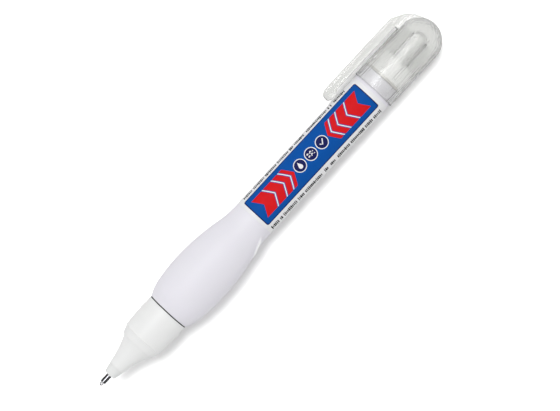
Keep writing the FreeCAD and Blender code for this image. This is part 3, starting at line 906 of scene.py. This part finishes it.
black_ink = ink("black_ink", (0.018, 0.018, 0.022), (0.014, 0.014, 0.018))
large_marks = {"Pitch": 0.52, "Bends": 9}
small_marks = {"Marks": 110, "Pitch": 0.36, "Height": 0.5, "Gaps": 0.2, "Rows": 6, "Row pitch": 1.2}
mark_rows = {
    "label_marks_upper": {"Start": (2.2, 7.6, 0), "Marks": 84, "Height": 1.7, "Gaps": 0.16, **large_marks},
    "label_marks_lower": {"Start": (1.6, -7.1, 0), "Marks": 91, "Height": 2.0, "Gaps": 0.1, **large_marks},
    "label_marks_back_upper": {"Start": (4.0, 10.6, 0), **small_marks},
    "label_marks_back_lower": {"Start": (4.0, -16.8, 0), **small_marks},
}
marks_lift = 0.008
for seed, (name, values) in enumerate(mark_rows.items(), start=3):
    values.update({"Thickness": ink_thickness, "Seed": seed, "Ink": black_ink})
    for label in ("Pitch", "Height", "Row pitch", "Thickness"):
        if label in values:
            values[label] *= MM
    values["Start"] = tuple(part * MM for part in values["Start"])
    marks_piece = grown(name, rows, values)
    wrapped(marks_piece.data, marks_lift * MM)
    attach(marks_piece, "barrel")


# --------------------------------------------------------------------
# Cap. Clear polystyrene, injection-moulded: a domed tube with eight ribs inside, low at the mouth's
# end and full height round the liner. The root of the clip runs down the dome, in one with it.

flow_lines, given, put_out = new_group("flow_lines", "ShaderNodeTree", {
    "Along": 150.0,
    "Across": 1900.0,
}, {"Height": "Float"})
put_out({"Height": fine_lines(flow_lines, given["Along"], given["Across"], detail=2.0)})


def clear_plastic(name, colour, roughness, line_depth, haze, shades, index=1.53, solid=None):
    """A clear plastic with the faint lengthwise lines of its moulding.

    haze is the share of it that scatters. shades are the shares of a lamp's light that pass each of
    the first two faces on its way, and each of the others. solid is the frame y past which it is a
    solid, smoother bar and no thin wall, with the bar's colour and the share of a lamp's light that
    passes each of its faces.
    """
    material, tree = new_material(name)
    lines = add(tree, "ShaderNodeGroup", node_tree=flow_lines)
    rays = add(tree, "ShaderNodeLightPath")
    near_lamp = maths(tree, "LESS_THAN", rays.outputs["Transparent Depth"], 1.5)
    tint, shade = (*colour, 1), maths(tree, "MULTIPLY_ADD", near_lamp, shades[0] - shades[1], shades[1])
    if solid:
        bar_from, bar_colour, bar_shade = solid
        change_over, smoothed = 0.4 * MM, 0.75
        in_bar = add(tree, "ShaderNodeMapRange", {
            "Value": add(tree, "ShaderNodeSeparateXYZ", {0: place_on_piece(tree)}).outputs["Y"],
            "From Min": bar_from - change_over,
            "From Max": bar_from + change_over,
        }).outputs[0]
        tint = mixed(tree, in_bar, tint, (*bar_colour, 1))
        shade = mixed(tree, in_bar, shade, (bar_shade, bar_shade, bar_shade, 1))
        line_depth = maths(tree, "MULTIPLY_ADD", in_bar, -smoothed * line_depth, line_depth)
    bump = add(tree, "ShaderNodeBump", {"Height": lines.outputs["Height"], "Distance": line_depth})
    glass = add(tree, "ShaderNodeBsdfPrincipled", {
        "Base Color": tint,
        "Roughness": roughness,
        "IOR": index,
        "Transmission Weight": 1 - haze,
        "Normal": bump.outputs[0],
    })
    open_way = add(tree, "ShaderNodeBsdfTransparent", {"Color": shade})
    show(tree, add(tree, "ShaderNodeMixShader", {
        "Fac": rays.outputs["Is Shadow Ray"],
        1: glass.outputs[0],
        2: open_way.outputs[0],
    }))
    return material


cap_low, cap_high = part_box("cap_shell")
cap_mouth = cap_low.x
cap_radius, cap_bore, cap_length = 7.04, 6.3, 26.9
dome_at, dome_wall, clip_from = 19.85, 0.75, 7.8
clear_cap = clear_plastic(
    "clear_polystyrene", (0.965, 0.968, 0.958),
    roughness=0.08, line_depth=0.00016, haze=0.12, shades=(0.8, 0.02),
    solid=(axis.y + clip_from * MM, (0.87, 0.875, 0.86), 0.1),
)
shell = turned("cap_shell_blank", cap_mouth, [
    (0, cap_bore, 0.15),
    (0, cap_radius, 0.22),
    (dome_at, cap_radius),
    *bow((dome_at, cap_radius), (cap_length, 0), dome_at, 24),
    (cap_length - dome_wall, 0),
    *bow((cap_length - dome_wall, 0), (dome_at, cap_bore), dome_at, 20),
], around=128)

rib_half, in_wall, liner_edge = 0.35, 6.7, 3.53
rib_shape = bmesh.new()
rib_outline = eased([
    (6.2, 6.0, 0.2),
    (6.2, in_wall),
    (dome_at, in_wall),
    (dome_at + 0.6, 5.6, 0.4),
    (dome_at, liner_edge, 0.5),
    (11.9, liner_edge, 0.3),
    (11.9, 5.8, 0.5),
    (6.8, 5.8, 0.3),
])
rib_face = rib_shape.faces.new([rib_shape.verts.new((x * MM, 0, r * MM)) for x, r in rib_outline])
bmesh.ops.translate(rib_shape, verts=rib_shape.verts, vec=(0, -rib_half * MM, 0))
pulled_out(rib_shape, [rib_face], (0, 2 * rib_half * MM, 0))
rib = as_piece("cap_rib_blank", rib_shape)


def edge_drop(across, half, rounding):
    """How far a bar's face has fallen at that place across it, towards its rounded edge."""
    over = max(0.0, abs(across) - (half - rounding))
    return rounding - math.sqrt(max(rounding ** 2 - over ** 2, 0.0))


def bar_ring(half, rounding, top, low_at, edge_steps=6, flat_steps=8):
    """A bar's section as (across, height) points. low_at gives the height of its underside."""
    turns = [math.pi / 2 * k / edge_steps for k in range(edge_steps + 1)]
    edge = [half - rounding + rounding * math.cos(turn) for turn in turns]
    middle = [(half - rounding) * (1 - 2 * k / flat_steps) for k in range(1, flat_steps)]
    places = edge + middle + [-across for across in reversed(edge)]
    upper = [(across, top - edge_drop(across, half, rounding)) for across in places]
    return upper + [(across, low_at(across)) for across in reversed(places)]


def lofted(name, front, rings, rear_open=False):
    """A bar beside the pen, on the side of +Y, through rings given as (x, ring)."""
    shape = bmesh.new()
    stations = [
        [
            shape.verts.new((front + x * MM, axis.y + height * MM, axis.z + across * MM))
            for across, height in ring
        ]
        for x, ring in rings
    ]
    for ring, after in zip(stations, stations[1:]):
        for k in range(len(ring)):
            beside = (k + 1) % len(ring)
            shape.faces.new([ring[k], ring[beside], after[beside], after[k]])
    shape.faces.new(stations[0])
    if not rear_open:
        shape.faces.new(stations[-1])
    bmesh.ops.remove_doubles(shape, verts=shape.verts, dist=1e-6)
    return as_piece(name, shape, sharp_from=40)


def height_on(line, x):
    """The height of a line of points at x."""
    for (x0, y0), (x1, y1) in zip(line, line[1:]):
        if x0 <= x <= x1:
            return y0 + (y1 - y0) * (x - x0) / max(x1 - x0, 1e-9)
    return line[-1][1]


def flat_under(low, half, rounding):
    """A bar's flat underside at that height, with its rounded edges."""
    return lambda across: low + edge_drop(across, half, rounding)


def sunk_under(x):
    """The underside of the clip's root at x, just inside the wall of the cap."""
    past = max(0.0, x - dome_at)
    return lambda across: math.sqrt((cap_radius - root_sunk) ** 2 - past ** 2 - across ** 2)


root_at, root_length, root_steps, root_sunk = 18.1, 7.6, 48, 0.35
clip_half, clip_edge, edge_share, clip_slack = 2.3, 0.6, 0.45, 0.005
clip_outer, clip_inner = (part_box("cap_clip")[1].y - axis.y) / MM - clip_slack, 7.85
root_slope = eased([
    (root_at - 1, clip_outer),
    (root_at + 0.6, clip_outer, 0.7),
    (root_at + 4.8, clip_outer - 2.28, 0.9),
    (root_at + 6.8, clip_outer - 4.45, 0.8),
    (root_at + 7.7, clip_outer - 7.2),
])
first_under = flat_under(clip_inner, clip_half, clip_edge)
root_rings = [(root_at, bar_ring(clip_half, clip_edge, clip_outer, first_under))]
for index in range(1, root_steps + 1):
    x = root_at + root_length * index / root_steps
    top, under = height_on(root_slope, x), sunk_under(x)
    rounding = min(clip_edge, (top - under(0)) * edge_share)
    root_rings.append((x, bar_ring(clip_half, rounding, top, under)))
root = lofted("cap_root_blank", cap_mouth, root_rings)

ribbed, given, put_out = new_group("ribbed_shell", "GeometryNodeTree", {
    "Geometry": "Geometry",
    "Rib": "Object",
    "Root": "Object",
    "Ribs": 8,
    "First angle": 0.0,
    "Centre": (0, 0, 0),
    "Plastic": "Material",
}, {"Geometry": "Geometry"})
rib_blank = add(ribbed, "GeometryNodeObjectInfo", {"Object": given["Rib"]})
root_blank = add(ribbed, "GeometryNodeObjectInfo", {"Object": given["Root"]})
places = add(ribbed, "GeometryNodePoints", {"Count": given["Ribs"], "Position": given["Centre"]})
number = add(ribbed, "GeometryNodeInputIndex").outputs[0]
turn_each = maths(ribbed, "DIVIDE", math.tau, given["Ribs"])
turn = maths(ribbed, "MULTIPLY_ADD", number, turn_each, given["First angle"])
ring_of_ribs = add(ribbed, "GeometryNodeInstanceOnPoints", {
    "Points": places.outputs[0],
    "Instance": rib_blank.outputs["Geometry"],
    "Rotation": vector(ribbed, X=turn),
})
solid_ribs = add(ribbed, "GeometryNodeRealizeInstances", {0: ring_of_ribs.outputs[0]})
joined = add(ribbed, "GeometryNodeMeshBoolean", operation="UNION", solver="MANIFOLD")
for part in (given["Geometry"], solid_ribs.outputs[0], root_blank.outputs["Geometry"]):
    ribbed.links.new(part, joined.inputs["Mesh 2"])
put_out({"Geometry": finished(ribbed, joined.outputs["Mesh"], given["Plastic"])})

ribs = 8
cap = grown("cap_clear_shell", ribbed, {
    "Rib": rib,
    "Root": root,
    "Ribs": ribs,
    "First angle": math.pi / ribs,
    "Centre": (cap_mouth, axis.y, axis.z),
    "Plastic": clear_cap,
}, start=shell.data)
for blank in (rib, root, shell):
    bpy.data.objects.remove(blank)

# The faces where the arm meets the root go, so that light passes there as in one moulding.
opened = bmesh.new()
opened.from_mesh(cap.data)
arm_meets = [
    face for face in opened.faces
    if all(abs(vertex.co.x - cap_mouth - root_at * MM) < 1e-6 for vertex in face.verts)
    and all(vertex.co.y - axis.y > (clip_inner - 0.1) * MM for vertex in face.verts)
]
bmesh.ops.delete(opened, geom=arm_meets, context="FACES_ONLY")
opened.to_mesh(cap.data)
opened.free()
cap.data.shade_smooth()
cap.data.set_sharp_from_angle(angle=math.radians(30))
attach(cap, "cap")
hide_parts("cap_shell")


# --------------------------------------------------------------------
# Liner. A slightly milky sleeve with a round closed end, held in the middle of the cap by its ribs.
# It closes round the tip holder when the pen is capped, and keeps the fluid from drying.

liner = turned("cap_liner_sleeve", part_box("cap_liner")[0].x, [
    (0, 2.6, 0.15),
    (0, 3.5, 0.2),
    (7.1, 3.5),
    *bow((7.1, 3.5), (10.6, 0), 7.1, 18),
    (9.7, 0),
    *bow((9.7, 0), (7.1, 2.6), 7.1, 14),
], around=96)
liner.data.materials.append(clear_plastic(
    "milky_liner", (0.965, 0.97, 0.955),
    roughness=0.14, line_depth=0.00008, haze=0.16, shades=(0.93, 0.4), index=1.49,
))
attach(liner, "cap")
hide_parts("cap_liner")


# --------------------------------------------------------------------
# Pocket clip. Moulded with the cap from the same clear plastic: an arm that springs at its root, a
# bump under its free end, and a sloped root that runs down onto the dome.

past_mouth = 11.6
clip_front, clip_length = cap_mouth - past_mouth * MM, past_mouth + root_at
nose_length, nose_drop, bump_length, bump_low, bump_fullness = 2.6, 1.5, 4.4, 6.95, 0.8
end_narrowing, end_length, clip_steps, closer_ahead = 0.55, 1.4, 140, 1.25
clip_rings = []
for index in range(clip_steps + 1):
    x = clip_length * (index / clip_steps) ** closer_ahead
    ahead = max(0.0, 1 - x / nose_length)
    top = clip_outer - nose_drop * (1 - math.sqrt(1 - ahead ** 2))
    swell = math.sin(math.pi * min(x / bump_length, 1.0)) ** bump_fullness
    low = clip_inner - (clip_inner - bump_low) * swell
    half = clip_half - end_narrowing * (1 - eased_step(0, end_length, x))
    rounding = min(clip_edge, (top - low) * edge_share)
    clip_rings.append((x, bar_ring(half, rounding, top, flat_under(low, half, rounding))))
clip = lofted("cap_pocket_clip", clip_front, clip_rings, rear_open=True)
clip.data.materials.append(clear_cap)
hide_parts("cap_clip")
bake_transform(clip)


# --------------------------------------------------------------------
# The pale floor that the pen lies on, tilted so that the grip and the cap both rest on it, a bright
# room, and a large window over the left shoulder. A lamp of its own washes the floor and another
# puts a glint on the metal tip.

dome_length, slack = 7.1 * MM, 0.02 * MM
grip_rests_at, cap_rests_at = bottle_front + grip_widest[0] * MM, cap_high.x - dome_length
rest_tilt = math.atan((axis.z - cap_radius * MM) / (cap_rests_at - grip_rests_at))
pivot = Vector((grip_rests_at, axis.y, -slack))
reach = 3.0
floor_mesh = bpy.data.meshes.new("floor")
corners = [(-reach, -reach, 0), (reach, -reach, 0), (reach, reach, 0), (-reach, reach, 0)]
floor_mesh.from_pydata(corners, [], [(0, 1, 2, 3)])
floor = in_scene("floor", floor_mesh)
floor.matrix_world = Matrix.Translation(pivot) @ Matrix.Rotation(-rest_tilt, 4, "Y")
paper, tree = new_material("pale_floor")
rays = add(tree, "ShaderNodeLightPath")
seen_brightness, lighting_brightness = 0.97, 0.38
brightness = maths(tree, "MULTIPLY_ADD", rays.outputs["Is Camera Ray"],
                   seen_brightness - lighting_brightness, lighting_brightness)
matt = add(tree, "ShaderNodeBsdfDiffuse", {"Color": brightness})
through_plastic = add(tree, "ShaderNodeEmission", {"Color": (0.85, 0.85, 0.84, 1)})
show(tree, add(tree, "ShaderNodeMixShader", {
    "Fac": rays.outputs["Is Transmission Ray"],
    1: matt.outputs[0],
    2: through_plastic.outputs[0],
}))
floor_mesh.materials.append(paper)

world = bpy.data.worlds.new("soft_room")
bpy.context.scene.world = world
world.use_nodes = True
tree = world.node_tree
tree.nodes.clear()
rays = add(tree, "ShaderNodeLightPath")
room_light, mirrored_walls, mirrored_ceiling, light_in_plastic = 0.80, 0.60, 0.8, 0.95
walls_up_to, ceiling_from = 0.86, 0.985
way_up = add(tree, "ShaderNodeSeparateXYZ", {0: add(tree, "ShaderNodeTexCoord").outputs["Generated"]})
overhead = add(tree, "ShaderNodeMapRange", {
    "Value": way_up.outputs["Z"],
    "From Min": walls_up_to,
    "From Max": ceiling_from,
    "To Min": mirrored_walls - room_light,
    "To Max": mirrored_ceiling - room_light,
}, interpolation_type="SMOOTHSTEP")
lit = maths(tree, "MULTIPLY_ADD", rays.outputs["Is Camera Ray"], 1 - room_light, room_light)
lit = maths(tree, "MULTIPLY_ADD", rays.outputs["Is Transmission Ray"], light_in_plastic - room_light, lit)
strength = maths(tree, "MULTIPLY_ADD", rays.outputs["Is Glossy Ray"], overhead.outputs[0], lit)
sky = add(tree, "ShaderNodeBackground", {"Color": (1, 1, 1, 1), "Strength": strength})
add(tree, "ShaderNodeOutputWorld", {"Surface": sky.outputs[0]})

pen_slant = math.radians(47.26)
image_right = Vector((math.cos(pen_slant), -math.sin(pen_slant), 0))
image_up = Vector((math.sin(pen_slant), math.cos(pen_slant), 0))
over_left_shoulder = (image_right * -0.62 + image_up * 0.78).normalized()


def distant_lamp(name, strength, spread, elevation, only_on=()):
    """A far lamp over the left shoulder, at that elevation. Angles are in degrees.

    only_on lists the pieces that it lights. Without it, it lights all.
    """
    light = bpy.data.lights.new(name, "SUN")
    light.energy = strength
    light.angle = math.radians(spread)
    source = in_scene(name, light)
    towards = over_left_shoulder * math.cos(math.radians(elevation))
    towards.z = math.sin(math.radians(elevation))
    source.rotation_euler = towards.to_track_quat("Z", "Y").to_euler()
    if only_on:
        receivers = bpy.data.collections.new(name + "_receivers")
        for receiver in only_on:
            receivers.objects.link(receiver)
        source.light_linking.receiver_collection = receivers


distant_lamp("window", strength=0.78, spread=24, elevation=70)
distant_lamp("floor_wash", strength=3.2, spread=32, elevation=69, only_on=[floor])
distant_lamp("tip_glint", strength=4.2, spread=34, elevation=84, only_on=[tip, ball])


# --------------------------------------------------------------------
# The camera, high over the pen and square to the floor, with the tip at the lower left.

camera_data = bpy.data.cameras.new("camera")
camera_data.sensor_width = 36
camera_height, width_seen = 0.782, 0.1658
right_of_middle, above_middle = 0.003756, -0.000381
camera_data.lens = camera_data.sensor_width * camera_height / width_seen
camera_data.clip_start = 0.05
camera = in_scene("camera", camera_data)
camera.location = Vector((0, axis.y, axis.z + camera_height))
camera.location += image_right * right_of_middle + image_up * above_middle
camera.rotation_euler = (0, 0, -pen_slant)
bpy.context.scene.camera = camera
bpy.context.scene.view_settings.view_transform = "Standard"
